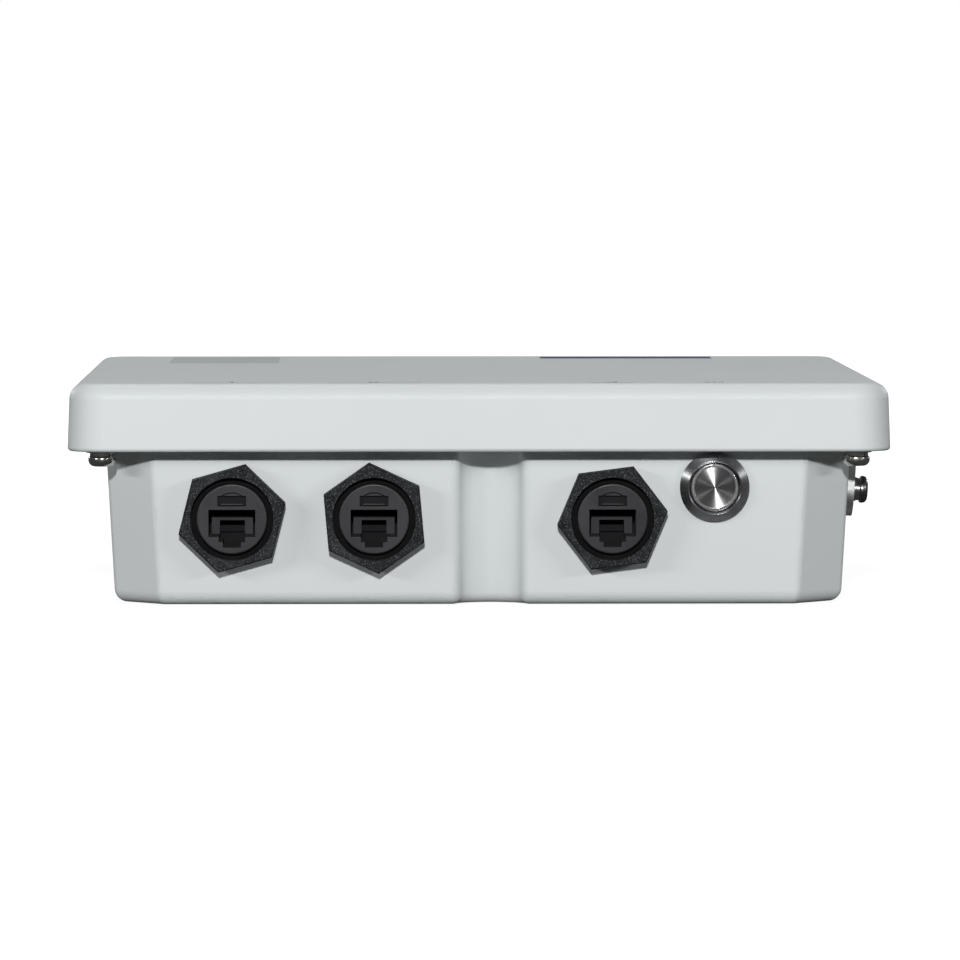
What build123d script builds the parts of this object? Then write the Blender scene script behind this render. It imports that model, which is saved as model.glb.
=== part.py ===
from build123d import *
import math
import os

# Gateway enclosure lying on its back: X across the connector wall, Y away from it, Z out of the cover.
# The origin is the middle of the back face. All sizes are in millimetres.

# Overall
COVER_W = 210.0
COVER_L = 200.0
TOTAL_H = 57.0
OVERHANG = 9.3
RIM_Z = 39.7

# Fits
SNUG = 0.02
CORE_GAP = 0.1
FREE = 0.3

# Base
BASE_HX = COVER_W / 2 - OVERHANG
BASE_HY = COVER_L / 2 - OVERHANG
BASE_DRAFT = 3.2
BASE_WALL = 3.0
BASE_CHAMFER = 12.0
BASE_CORNER_R = 2.5
BASE_BOTTOM_R = 3.5
FLUTE_X = 3.0
FLUTE_R = 8.0
FLUTE_LIP_R = 2.5

# Cover
COVER_WALL = 3.0
COVER_DRAFT = 2.0
COVER_PLAN_R = 9.0
COVER_TOP_R = 4.0
COVER_HEM_R = 0.9
COVER_BOSS_R = 5.2
MARK_DEPTH = 0.2
NUMERAL_INSET = 12.0
RULE_INSET = 7.6
RULE_WIDTHS = [24.0, 24.0, 11.0]
RULE_T = 0.9
SIGN_INSET = 10.0
BADGE_W = 48.0
BADGE_L = 14.0
BADGE_INSET_X = 61.0
BADGE_INSET_Y = 16.0
LABEL_W = 30.0
LABEL_L = 44.0
LABEL_INSET_X = 37.0
LABEL_INSET_Y = 34.0

# Rim flange and gasket
FLANGE_T = 4.0
FLANGE_GAP = 0.4
FLANGE_TOP = RIM_Z + FLANGE_T
GROOVE_DEPTH = 2.2
GROOVE_START = 0.9
GROOVE_W = 3.0
GASKET_PROUD = 0.7
RIB_W = 2.0

# Cover screws, driven upwards through the flange
SCREW_INSET = 8.8
SCREW_X = COVER_W / 2 - SCREW_INSET
SCREW_Y = COVER_L / 2 - SCREW_INSET
SCREW_R = 1.75
SCREW_HEAD_R = 3.5
SCREW_HEAD_H = 2.6
SCREW_LENGTH = 12.0
SCREW_HOLE_R = SCREW_R + FREE
SPRING_WASHER_R = 3.1
SPRING_WASHER_T = 0.9
FLAT_WASHER_R = 4.0
FLAT_WASHER_T = 0.5
INSERT_R = 2.9
INSERT_L = 6.0
INSERT_START = 0.4

# Network ports: (x, turn of the hexagon, angle of the two moulding marks)
PORTS = [(-63.1, 15.9, 75.9), (-26.9, 35.1, 155.1), (33.9, 7.4, 7.4)]
PORT_Z = 22.7
HEX_AF = 24.5
HEX_FRONT = 6.0
PORT_GASKET_T = 1.5
PORT_GASKET_R = 12.0
BARREL_R = 10.9
BARREL_END = -14.0
WALL_HOLE_GAP = 0.2
RING_HOLE_R = 10.6
RING_FLOOR = 2.5
CORE_R = 9.0
CORE_FRONT = 5.6
CORE_BOX_W = 16.5
CORE_BOX_H = 14.5
CORE_END = -30.0
JACK_W = 11.9
JACK_H = 7.0
JACK_DROP = 1.1
JACK_FLOOR = -8.0
LATCH_STEPS = [(6.7, 1.35), (4.6, 1.35)]
REAR_JACK_FLOOR = -18.0
PORT_NUT_AF = 26.0
PORT_NUT_T = 4.0
MOULD_MARK_R = 0.95
MOULD_MARK_AT = 12.1
CONTACT_PITCH = 1.02
CONTACT_W = 0.4
TAB_W = 7.3
TAB_H = 2.7
TAB_Y = 4.6
TAB_DEPTH = 0.9
ARCH_R = 4.5
INNER_BLOCK_FRONT = -2.0
INNER_RECESS_W = 6.4
PORT_SEAL_T = 0.9

# Push button
BUTTON_X = 60.1
BUTTON_Z = 30.3
BEZEL_R = 8.9
BEZEL_TOP_R = 6.9
BEZEL_FRONT = 2.7
BUTTON_GASKET_T = 0.6
BUTTON_GASKET_R = 8.6
BUTTON_BARREL_R = 7.9
BUTTON_BARREL_END = -18.0
CAP_R = 6.2
CAP_FRONT = 2.5
CAP_BACK = -2.5
CAP_DISH_R = 5.3
CAP_DISH = 0.35
CAP_BORE_FLOOR = -9.0
STEM_R = 1.8
STEM_END = -15.6
BUTTON_NUT_AF = 19.0
BUTTON_NUT_T = 3.5
SWITCH_W = 13.0
SWITCH_H = 10.0
SWITCH_END = -27.0
TERMINAL_GAP = 5.0
TERMINAL_L = 4.0
SPRING_R = 4.4
SPRING_WIRE_R = 0.35
SPRING_TURNS = 4

# Earth bracket on the right wall
EARTH_INSET = 20.7
EARTH_Y = EARTH_INSET - BASE_HY
EARTH_Z = 28.7
EARTH_PLATE_T = 1.8
EARTH_PLATE_W = 14.0
EARTH_PLATE_TOP = 10.6
EARTH_SCREW_R = 2.0
EARTH_HEAD_R = 3.5
EARTH_HEAD_H = 2.1
EARTH_WASHER_R = 3.1
EARTH_WASHER_T = 0.85
EARTH_NUT_AF = 7.0
EARTH_NUT_T = 3.2
LUG_T = 0.8
LUG_R = 4.2
LUG_BARREL_R = 1.7
LEAD_R = 1.0

# Controller board
BOARD_INSET_X = 23.7
BOARD_INSET_Y = 28.7
BOARD_HX = BASE_HX - BOARD_INSET_X
BOARD_HY = BASE_HY - BOARD_INSET_Y
BOARD_Z = 9.0
BOARD_T = 1.6
BOARD_TOP = BOARD_Z + BOARD_T
BOARD_HOLE_INSET = 5.0
BOARD_HOLE_X = BOARD_HX - BOARD_HOLE_INSET
BOARD_HOLE_Y = BOARD_HY - BOARD_HOLE_INSET
BOARD_SCREW_R = 1.5
STANDOFF_R = 3.6
BOARD_JACK_Y = -20.0
BOARD_JACK_W = 16.0
BOARD_JACK_L = 21.0
BOARD_JACK_H = 13.5
BOARD_JACK_OPEN_Z = 6.5
BOARD_JACK_DEPTH = 12.0
PLUG_W = 11.4
PLUG_H = 6.4
PLUG_OUT = 4.0
CABLE_R = 1.7
BOARD_HEADER_Y = -38.0
EARTH_POST_X = 64.0
EARTH_POST_Y = -20.0
EARTH_POST_H = 2.8

# Parts soldered on the board: x, y and sizes; rows at the far side follow the board's far edge
CHIPS = [
    (0.0, BOARD_HY - 50.0, 14.0, 14.0, 1.4),
    (-26.0, BOARD_HY - 32.0, 10.0, 8.0, 1.2),
    (24.0, BOARD_HY - 28.0, 8.0, 12.0, 1.2),
    (0.0, BOARD_HY - 70.0, 7.0, 7.0, 1.0),
    (-48.0, BOARD_HY - 40.0, 9.0, 6.0, 1.2),
    (46.0, BOARD_JACK_Y + 28.0, 9.0, 9.0, 1.6),
]
CAN_R = 4.0
CAN_H = 11.0
CANS = [(-60.0, BOARD_HY - 24.0), (-48.0, BOARD_HY - 18.0), (-60.0, BOARD_HY - 38.0)]
SHIELD_W = 24.0
SHIELD_L = 18.0
SHIELD_H = 2.4
SHIELD_T = 0.4
SHIELD_X = 44.0
SHIELD_Y = BOARD_HY - 16.0
RAIL_W = 34.0
RAIL_L = 9.0
RAIL_H = 10.0
RAIL_X = -12.0
RAIL_Y = BOARD_HY - 8.0
RAIL_WAYS = 6
RAIL_PITCH = 5.4
CELL_R = 10.0
CELL_H = 3.2
CELL_FLOOR = 0.8
CELL_HOLDER_R = 11.4
CELL_Y = BOARD_HY - 26.0

# Mounting inserts in the back
MOUNT_INSET = 15.7
MOUNT_X = BASE_HX - MOUNT_INSET
MOUNT_Y = BASE_HY - MOUNT_INSET
MOUNT_BOSS_R = 5.6
MOUNT_BOSS_H = 12.0
MOUNT_INSERT_R = 3.0
MOUNT_INSERT_L = 8.0
MOUNT_THREAD_R = 2.0

SIGNS = [(-1, -1), (1, -1), (1, 1), (-1, 1)]


def wall_half(half, z):
    """Half width of the drafted base at height z."""
    return half - (RIM_Z - z) * math.tan(math.radians(BASE_DRAFT))


def port_wall(x, z):
    """Plane on the connector wall: local x to the right, local y up, local z outwards."""
    lean = math.radians(BASE_DRAFT)
    origin = (x, -wall_half(BASE_HY, z), z)
    return Plane(origin=origin, x_dir=(1, 0, 0), z_dir=(0, -math.cos(lean), -math.sin(lean)))


def side_wall(y, z):
    """Plane on the right wall: local x away along +Y, local y up, local z outwards."""
    lean = math.radians(BASE_DRAFT)
    origin = (wall_half(BASE_HX, z), y, z)
    return Plane(origin=origin, x_dir=(0, 1, 0), z_dir=(math.cos(lean), 0, -math.sin(lean)))


def inner_plane(wall, origin, x_dir, z_dir):
    """Plane given in the local directions of a wall plane."""
    return Plane(wall.location * Plane(origin=origin, x_dir=x_dir, z_dir=z_dir).location)


def octagon(half_x, half_y, chamfer, z):
    """Rectangle with 45 degree corners, as a face at height z."""
    points = []
    for sx, sy in SIGNS:
        along = (sx * (half_x - chamfer), sy * half_y)
        across = (sx * half_x, sy * (half_y - chamfer))
        points += [along, across] if sx * sy < 0 else [across, along]
    return Plane.XY.offset(z) * make_face(Polyline(*points, close=True).edges())


def drafted_block(inset, z_low, z_top, corner_r):
    """Solid between two octagons that follow the base draft, inset from the outer wall."""
    chamfer = BASE_CHAMFER - inset * (2 - math.sqrt(2))
    ends = []
    for z in (z_low, z_top):
        face = octagon(wall_half(BASE_HX, z) - inset, wall_half(BASE_HY, z) - inset, chamfer, z)
        ends.append(fillet(face.vertices(), corner_r))
    return loft(ends, ruled=True)


def flute(side, radius, z_top):
    """Round channel standing on the outer wall, leaning with the draft."""
    ends = []
    for z in (0.0, z_top):
        ends.append(Pos(FLUTE_X, side * wall_half(BASE_HY, z), z) * Circle(radius))
    return loft(ends, ruled=True)


def ring_band(start, width, z_low, z_top):
    """Band of constant width that runs round the base outline, outside it."""
    rings = []
    for off in (start + width, start):
        chamfer = BASE_CHAMFER + off * (2 - math.sqrt(2))
        rings.append(octagon(BASE_HX + off, BASE_HY + off, chamfer, z_low))
    return extrude(rings[0] - rings[1], amount=z_top - z_low)


def tube(radius, bore, low, high):
    """Round tube on the local z axis."""
    body = Pos(0, 0, low) * Cylinder(radius, high - low, align=(Align.CENTER, Align.CENTER, Align.MIN))
    hole = Pos(0, 0, low) * Cylinder(bore, high - low, align=(Align.CENTER, Align.CENTER, Align.MIN))
    return body - hole


def rod(radius, low, high):
    """Round rod on the local z axis."""
    return Pos(0, 0, low) * Cylinder(radius, high - low, align=(Align.CENTER, Align.CENTER, Align.MIN))


def block(width, depth, low, high, x=0.0, y=0.0):
    """Box standing on local height low, centred on x, y."""
    size = Box(width, depth, high - low, align=(Align.CENTER, Align.CENTER, Align.MIN))
    return Pos(x, y, low) * size


def hex_ring(across_flats, bore, low, high, turn):
    """Hexagonal ring on the local z axis."""
    face = RegularPolygon(across_flats / 2, 6, major_radius=False, rotation=turn) - Circle(bore)
    return extrude(Pos(0, 0, low) * face, amount=high - low)


def pan_head(radius, height, low):
    """Pan head standing on local height low, rounded on its far side."""
    head = rod(radius, low, low + height)
    head = fillet(head.faces().sort_by(Axis.Z)[-1].edges(), height * 0.62)
    return fillet(head.faces().sort_by(Axis.Z)[0].edges(), height * 0.22)


def cross_slot(radius, depth, top):
    """Cross recess cutter ending at local height top."""
    bars = block(radius * 1.1, radius * 0.26, top - depth, top)
    return bars + block(radius * 0.26, radius * 1.1, top - depth, top)


def pan_screw(radius, head_r, head_h, length):
    """Pan-head screw: head above local z = 0, shank below."""
    screw = pan_head(head_r, head_h, 0.0) - cross_slot(head_r, head_h * 0.6, head_h)
    screw += rod(radius, -length, 0.0)
    return screw


def lead(points, radius, name):
    """Round lead along straight runs joined by tangent arcs."""
    turns = []
    runs = []
    for start, end in zip(points, points[1:]):
        runs.append(Vector(*end) - Vector(*start))
    for one, two in zip(runs, runs[1:]):
        half = math.radians(one.get_angle(two)) / 2
        turns.append(0.45 * min(one.length, two.length) / math.tan(half))
    bend = min(turns)
    path = FilletPolyline(*points, radius=bend)
    section = Plane(origin=path @ 0, z_dir=path % 0) * Circle(radius)
    solid = sweep(section, path=path)
    expected = math.pi * radius ** 2 * path.length
    print(f"{name}: bend {bend:.2f} mm = {bend / (2 * radius):.1f} diameters,"
          f" volume {solid.volume:.2f} of {expected:.2f}")
    return solid


def make_base_shell():
    """Moulded base: drafted walls, flutes, rim flange, bosses and every hole."""
    outer = drafted_block(0.0, 0.0, RIM_Z, BASE_CORNER_R)
    outer = fillet(outer.faces().sort_by(Axis.Z)[0].edges(), BASE_BOTTOM_R)
    for side in (-1, 1):
        outer -= flute(side, FLUTE_R, RIM_Z)
    lips = []
    for edge in outer.edges():
        middle = edge.center()
        if edge.length > RIM_Z / 2 and abs(abs(middle.X - FLUTE_X) - FLUTE_R) < 1.0:
            lips.append(edge)
    outer = fillet(lips, FLUTE_LIP_R)

    flange_x = COVER_W / 2 - COVER_WALL - FLANGE_GAP
    flange_y = COVER_L / 2 - COVER_WALL - FLANGE_GAP
    plan = RectangleRounded(2 * flange_x, 2 * flange_y, COVER_PLAN_R - COVER_WALL - FLANGE_GAP)
    flange = extrude(Pos(0, 0, RIM_Z) * plan, amount=FLANGE_T)
    shell = outer + flange

    cavity = drafted_block(BASE_WALL, BASE_WALL, FLANGE_TOP, BASE_CORNER_R)
    for side in (-1, 1):
        cavity -= flute(side, FLUTE_R + BASE_WALL, FLANGE_TOP)
    shell -= cavity
    shell -= ring_band(GROOVE_START, GROOVE_W, FLANGE_TOP - GROOVE_DEPTH, FLANGE_TOP)

    for sx, sy in SIGNS:
        shell -= Pos(sx * SCREW_X, sy * SCREW_Y) * rod(SCREW_HOLE_R, RIM_Z, FLANGE_TOP)
        stand = tube(STANDOFF_R, BOARD_SCREW_R - 0.2, BASE_WALL, BOARD_Z)
        shell += Pos(sx * BOARD_HOLE_X, sy * BOARD_HOLE_Y) * stand
        shell += Pos(sx * MOUNT_X, sy * MOUNT_Y) * rod(MOUNT_BOSS_R, BASE_WALL, MOUNT_BOSS_H)
        pocket = rod(MOUNT_INSERT_R + SNUG, 0.0, MOUNT_INSERT_L + 1.5)
        shell -= Pos(sx * MOUNT_X, sy * MOUNT_Y) * pocket

    for x, turn, mark in PORTS:
        shell -= port_wall(x, PORT_Z) * rod(BARREL_R + WALL_HOLE_GAP, -2 * BASE_WALL, 1.0)
    shell -= port_wall(BUTTON_X, BUTTON_Z) * rod(BUTTON_BARREL_R + WALL_HOLE_GAP, -2 * BASE_WALL, 1.0)
    shell -= side_wall(EARTH_Y, EARTH_Z) * rod(EARTH_SCREW_R + WALL_HOLE_GAP, -2 * BASE_WALL, 1.0)
    return [shell]


def cover_block(inset, z_low, z_top, plan_r):
    """Drafted block with round corners, inset from the outside of the cover."""
    ends = []
    for z in (z_low, z_top):
        lean = (z - RIM_Z) * math.tan(math.radians(COVER_DRAFT)) + inset
        plan = RectangleRounded(COVER_W - 2 * lean, COVER_L - 2 * lean, plan_r)
        ends.append(Pos(0, 0, z) * plan)
    return loft(ends, ruled=True)


def stroke_ring():
    """Power sign: an open ring with a bar, 5 mm across."""
    ring = Circle(2.5) - Circle(2.0)
    ring -= Pos(0, 2.2) * Rectangle(1.8, 1.6)
    return ring + Pos(0, 1.9) * Rectangle(0.5, 2.4)


def numeral(count):
    """Numeral 1, 2 or 3 built from straight strokes, 4.5 mm tall."""
    across = Rectangle(2.6, 0.55)
    upright = Rectangle(0.55, 2.25)
    if count == 1:
        return Rectangle(0.55, 4.5) + Pos(-0.5, 1.975) * Rectangle(0.9, 0.55)
    glyph = Pos(0, 1.975) * across + across + Pos(0, -1.975) * across
    glyph += Pos(1.025, 1.125) * upright
    low_side = -1.025 if count == 2 else 1.025
    return glyph + Pos(low_side, -1.125) * upright


def mark_faces():
    """Printed signs on the cover: a numeral and a rule over each port, a power sign over the button."""
    faces = []
    edge = -COVER_L / 2
    for index, (x, turn, mark) in enumerate(PORTS):
        faces.append(Pos(x, edge + NUMERAL_INSET) * numeral(index + 1))
        faces.append(Pos(x, edge + RULE_INSET) * Rectangle(RULE_WIDTHS[index], RULE_T))
    faces.append(Pos(BUTTON_X, edge + SIGN_INSET) * stroke_ring())
    return faces


def mark_solids():
    """The printed signs as thin inlays, flush with the top of the cover."""
    return [extrude(Pos(0, 0, TOTAL_H - MARK_DEPTH) * face, amount=MARK_DEPTH) for face in mark_faces()]


def badge_solid():
    """Plain coloured block near the far edge."""
    x = COVER_W / 2 - BADGE_INSET_X
    return block(BADGE_W, BADGE_L, TOTAL_H - MARK_DEPTH, TOTAL_H, x, COVER_L / 2 - BADGE_INSET_Y)


def label_solid():
    """Plain blank label."""
    x = LABEL_INSET_X - COVER_W / 2
    return block(LABEL_W, LABEL_L, TOTAL_H - MARK_DEPTH, TOTAL_H, x, COVER_L / 2 - LABEL_INSET_Y)


def make_front_cover():
    """Moulded cover with an overhanging skirt, gasket rib and four screw bosses."""
    outer = cover_block(0.0, RIM_Z, TOTAL_H, COVER_PLAN_R)
    outer = fillet(outer.faces().sort_by(Axis.Z)[-1].edges(), COVER_TOP_R)
    outer = fillet(outer.faces().sort_by(Axis.Z)[0].edges(), COVER_HEM_R)
    ceiling = TOTAL_H - COVER_WALL
    inner = cover_block(COVER_WALL, RIM_Z, ceiling, COVER_PLAN_R - COVER_WALL)
    cover = outer - inner
    rib_start = GROOVE_START + (GROOVE_W - RIB_W) / 2
    cover += ring_band(rib_start, RIB_W, FLANGE_TOP + GASKET_PROUD, ceiling)
    for sx, sy in SIGNS:
        cover += Pos(sx * SCREW_X, sy * SCREW_Y) * rod(COVER_BOSS_R, FLANGE_TOP, ceiling)
    for sx, sy in SIGNS:
        pilot = rod(INSERT_R + SNUG, FLANGE_TOP, FLANGE_TOP + INSERT_START + INSERT_L)
        pilot += rod(SCREW_HOLE_R, FLANGE_TOP, ceiling - 1.0)
        cover -= Pos(sx * SCREW_X, sy * SCREW_Y) * pilot
    for inlay in mark_solids() + [badge_solid(), label_solid()]:
        cover -= inlay
    return [cover]


def make_cover_gasket():
    """Rubber strip lying in the groove of the flange."""
    low = FLANGE_TOP - GROOVE_DEPTH
    return [ring_band(GROOVE_START + 0.1, GROOVE_W - 0.2, low, FLANGE_TOP + GASKET_PROUD)]


def screw_stack():
    """Cover screw, spring washers, flat washers and inserts at the four corners."""
    under_flat = RIM_Z - FLAT_WASHER_T
    under_spring = under_flat - SPRING_WASHER_T
    screws = []
    springs = []
    flats = []
    inserts = []
    for sx, sy in SIGNS:
        spot = Pos(sx * SCREW_X, sy * SCREW_Y)
        screw = Rot(180, 0, 0) * pan_screw(SCREW_R, SCREW_HEAD_R, SCREW_HEAD_H, SCREW_LENGTH)
        screws.append(spot * Pos(0, 0, under_spring) * screw)
        split = tube(SPRING_WASHER_R, SCREW_R + SNUG, under_spring, under_flat)
        split -= Rot(0, 0, 40) * block(0.35, 2.2, under_spring, under_flat, 0.0, -2.4)
        springs.append(spot * split)
        flats.append(spot * tube(FLAT_WASHER_R, SCREW_R + SNUG, under_flat, RIM_Z))
        low = FLANGE_TOP + INSERT_START
        inserts.append(spot * tube(INSERT_R, SCREW_HOLE_R, low, low + INSERT_L))
    return screws, springs, flats, inserts


def jack_cut(low, high):
    """Socket opening with its latch steps, as a cutter between two local heights."""
    cut = block(JACK_W, JACK_H, low, high, 0.0, -JACK_DROP)
    edge = -JACK_DROP - JACK_H / 2
    for width, step in LATCH_STEPS:
        cut += block(width, step + 0.01, low, high, 0.0, edge - step / 2 + 0.005)
        edge -= step
    return cut


def make_port_flange(turn, mark):
    """Hexagonal front of a weatherproof socket with its threaded barrel."""
    flange = hex_ring(HEX_AF, 0.5 * RING_HOLE_R, PORT_GASKET_T, HEX_FRONT, turn)
    rim = flange.faces().sort_by(Axis.Z)[-1].edges().filter_by(GeomType.LINE)
    flange = chamfer(rim, 0.35) - rod(RING_HOLE_R, PORT_GASKET_T, HEX_FRONT)
    flange += tube(RING_HOLE_R + 0.2, CORE_R + CORE_GAP, PORT_GASKET_T, RING_FLOOR)
    flange += tube(BARREL_R, CORE_R + CORE_GAP, BARREL_END, PORT_GASKET_T)
    for angle in (mark, mark + 180):
        mark_ring = tube(MOULD_MARK_R, MOULD_MARK_R - 0.3, HEX_FRONT - 0.35, HEX_FRONT)
        mark_ring += rod(0.25, HEX_FRONT - 0.35, HEX_FRONT)
        flange -= Rot(0, 0, angle) * Pos(MOULD_MARK_AT, 0, 0) * mark_ring
    return flange


def make_port_core():
    """Double socket: round front with the outer opening, square body with the inner opening."""
    core = rod(CORE_R, BARREL_END, CORE_FRONT)
    core = fillet(core.faces().sort_by(Axis.Z)[-1].edges(), 0.4)
    core += block(CORE_BOX_W, CORE_BOX_H, CORE_END, BARREL_END, 0.0, -JACK_DROP)
    core -= jack_cut(JACK_FLOOR, CORE_FRONT)
    core -= jack_cut(CORE_END, REAR_JACK_FLOOR)
    core -= block(TAB_W, TAB_H, CORE_FRONT - TAB_DEPTH, CORE_FRONT, 0.0, TAB_Y)
    core += block(TAB_W * 0.76, 0.35, CORE_FRONT - TAB_DEPTH, CORE_FRONT - 0.1, 0.0, TAB_Y - TAB_H / 2 + 0.5)
    arch = Circle(ARCH_R) - Circle(ARCH_R - 0.3)
    arch &= Pos(0, ARCH_R) * Rectangle(TAB_W * 0.85, 2.0)
    arch_y = TAB_Y + TAB_H / 2 + 0.9 - ARCH_R
    return core - extrude(Pos(0, arch_y, CORE_FRONT - 0.4) * arch, amount=0.4)


def make_inner_block():
    """Pale block across the end of the outer socket, with a recess in its middle."""
    width = JACK_W - 1.4
    height = JACK_H * 2 / 3
    low_edge = -JACK_DROP - JACK_H / 2
    body = block(width, height, JACK_FLOOR, INNER_BLOCK_FRONT, 0.0, low_edge + height / 2)
    recess_h = height * 0.75
    recess_y = low_edge + recess_h / 2
    recess = block(INNER_RECESS_W, recess_h, JACK_FLOOR + 1.0, INNER_BLOCK_FRONT, 0.0, recess_y)
    return body - recess


def make_contacts():
    """Eight spring contacts from the end of the outer socket, bent back under its top."""
    top = JACK_H / 2 - JACK_DROP - 0.2
    profile = [(-JACK_FLOOR, top), (0.6, top), (0.4, top - 0.3), (5.0, top - 1.5), (5.1, top - 1.2)]
    profile += [(1.4, top - 0.3), (-JACK_FLOOR, top - 0.3)]
    side = make_face(Polyline(*profile, close=True).edges())
    side_plane = Plane(origin=(0, 0, 0), x_dir=(0, 0, -1), z_dir=(1, 0, 0))
    strip = extrude(side_plane * side, amount=CONTACT_W / 2, both=True)
    return [Pos((index - 3.5) * CONTACT_PITCH, 0, 0) * strip for index in range(8)]


def patch_plug(open_end):
    """Plug on an inner socket, from its floor to just outside the socket's open end."""
    depth = REAR_JACK_FLOOR - CORE_END if open_end == "core" else BOARD_JACK_DEPTH
    plug = block(PLUG_W, PLUG_H, -PLUG_OUT, depth)
    boot = block(PLUG_W - 2.4, PLUG_H - 0.6, -PLUG_OUT, -PLUG_OUT + 2.0)
    body = plug - block(PLUG_W + 1.0, PLUG_H + 1.0, -PLUG_OUT, -PLUG_OUT + 2.0) + boot
    return body


def make_ports():
    """Weatherproof network sockets with gaskets, nuts, contacts, inner plugs and patch leads."""
    shared = ("port_gaskets", "port_nuts", "port_contacts", "port_inner_blocks", "port_seals")
    parts = {name: [] for name in shared}
    parts.update({"patch_plugs": [], "patch_leads": [], "board_jacks": []})
    nut_top = -BASE_WALL
    for index, (x, turn, mark) in enumerate(PORTS):
        wall = port_wall(x, PORT_Z)
        number = index + 1
        parts[f"port_{number}_flange"] = [wall * make_port_flange(turn, mark)]
        parts[f"port_{number}_core"] = [wall * make_port_core()]
        parts["port_gaskets"].append(wall * tube(PORT_GASKET_R, BARREL_R + SNUG, 0.0, PORT_GASKET_T))
        seal = tube(RING_HOLE_R - CORE_GAP, CORE_R + CORE_GAP, RING_FLOOR, RING_FLOOR + PORT_SEAL_T)
        parts["port_seals"].append(wall * seal)
        nut = hex_ring(PORT_NUT_AF, BARREL_R + SNUG, nut_top - PORT_NUT_T, nut_top, 30)
        parts["port_nuts"].append(wall * nut)
        parts["port_contacts"] += [wall * strip for strip in make_contacts()]
        parts["port_inner_blocks"].append(wall * make_inner_block())

        rear = inner_plane(wall, (0, -JACK_DROP, CORE_END), (1, 0, 0), (0, 0, 1))
        parts["patch_plugs"].append(rear * patch_plug("core"))
        jack_mouth = Vector(x, BOARD_JACK_Y, BOARD_TOP + BOARD_JACK_OPEN_Z)
        mouth = Plane(origin=jack_mouth, x_dir=(1, 0, 0), z_dir=(0, 1, 0))
        parts["patch_plugs"].append(mouth * patch_plug("board"))
        jack = block(BOARD_JACK_W, BOARD_JACK_L, BOARD_TOP, BOARD_TOP + BOARD_JACK_H)
        jack = Pos(x, BOARD_JACK_Y + BOARD_JACK_L / 2) * jack
        jack -= mouth * block(JACK_W, JACK_H, 0.0, BOARD_JACK_DEPTH)
        parts["board_jacks"].append(jack)

        start = rear.origin - rear.z_dir * PLUG_OUT
        end = jack_mouth - Vector(0, PLUG_OUT, 0)
        lead_in = start - rear.z_dir * 10.0
        lead_out = end - Vector(0, 10.0, 0)
        parts["patch_leads"].append(lead([start, lead_in, lead_out, end], CABLE_R, f"patch lead {number}"))
    return parts


def make_button_bezel():
    """Bevelled bezel ring and threaded barrel of the push button."""
    disc = rod(BEZEL_R, BUTTON_GASKET_T, BEZEL_FRONT)
    disc = chamfer(disc.faces().sort_by(Axis.Z)[-1].edges(), BEZEL_FRONT - BUTTON_GASKET_T - 0.5,
                   BEZEL_R - BEZEL_TOP_R)
    disc += rod(BUTTON_BARREL_R, BUTTON_BARREL_END, BUTTON_GASKET_T)
    disc -= rod(CAP_R + FREE, CAP_BORE_FLOOR, BEZEL_FRONT)
    bore_edge = disc.faces().sort_by(Axis.Z)[-1].edges().sort_by(SortBy.LENGTH)[0]
    disc = chamfer(bore_edge, 0.35)
    return disc - rod(STEM_R + FREE, BUTTON_BARREL_END, CAP_BORE_FLOOR)


def make_button_cap():
    """Spun metal cap with a shallow dish and its stem."""
    cap = rod(CAP_R, CAP_BACK, CAP_FRONT)
    cap = chamfer(cap.faces().sort_by(Axis.Z)[-1].edges(), 0.35)
    cap -= rod(CAP_DISH_R, CAP_FRONT - CAP_DISH, CAP_FRONT)
    return cap + rod(STEM_R, STEM_END, CAP_BACK)


def make_button_spring():
    """Return spring between the floor of the barrel and the cap."""
    low = CAP_BORE_FLOOR + SPRING_WIRE_R + SNUG
    height = CAP_BACK - SPRING_WIRE_R - 3 * SNUG - low
    path = Pos(0, 0, low) * Helix(pitch=height / SPRING_TURNS, height=height, radius=SPRING_R)
    section = Plane(origin=path @ 0, z_dir=path % 0) * Circle(SPRING_WIRE_R)
    return sweep(section, path=path)


def make_button():
    """Push button with its gasket, nut, spring, switch block, terminals and wires."""
    wall = port_wall(BUTTON_X, BUTTON_Z)
    nut = hex_ring(BUTTON_NUT_AF, BUTTON_BARREL_R + SNUG, -BASE_WALL - BUTTON_NUT_T, -BASE_WALL, 30)
    switch = block(SWITCH_W, SWITCH_H, SWITCH_END, BUTTON_BARREL_END)
    parts = {
        "button_bezel": [wall * make_button_bezel()],
        "button_cap": [wall * make_button_cap()],
        "button_gasket": [wall * tube(BUTTON_GASKET_R, BUTTON_BARREL_R + SNUG, 0.0, BUTTON_GASKET_T)],
        "button_nut": [wall * nut],
        "button_spring": [wall * make_button_spring()],
        "button_switch_block": [wall * switch],
        "button_terminals": [],
        "button_wires": [],
    }
    header_top = BOARD_TOP + 6.0
    parts["board_header"] = [block(9.0, 5.0, BOARD_TOP, header_top, BUTTON_X, BOARD_HEADER_Y)]
    blade_end = SWITCH_END - TERMINAL_L
    for side in (-1, 1):
        blade = block(2.4, 0.8, blade_end, SWITCH_END, side * TERMINAL_GAP / 2, 0.0)
        parts["button_terminals"].append(wall * blade)
        tip = inner_plane(wall, (side * TERMINAL_GAP / 2, 0, blade_end), (1, 0, 0), (0, 0, 1))
        start = tip.origin
        foot = Vector(start.X, BOARD_HEADER_Y, header_top)
        knee = start - tip.z_dir * 12.0
        points = [start, knee, foot + Vector(0, 0, 9.0), foot]
        parts["button_wires"].append(lead(points, 0.7, "button wire"))
    return parts


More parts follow.
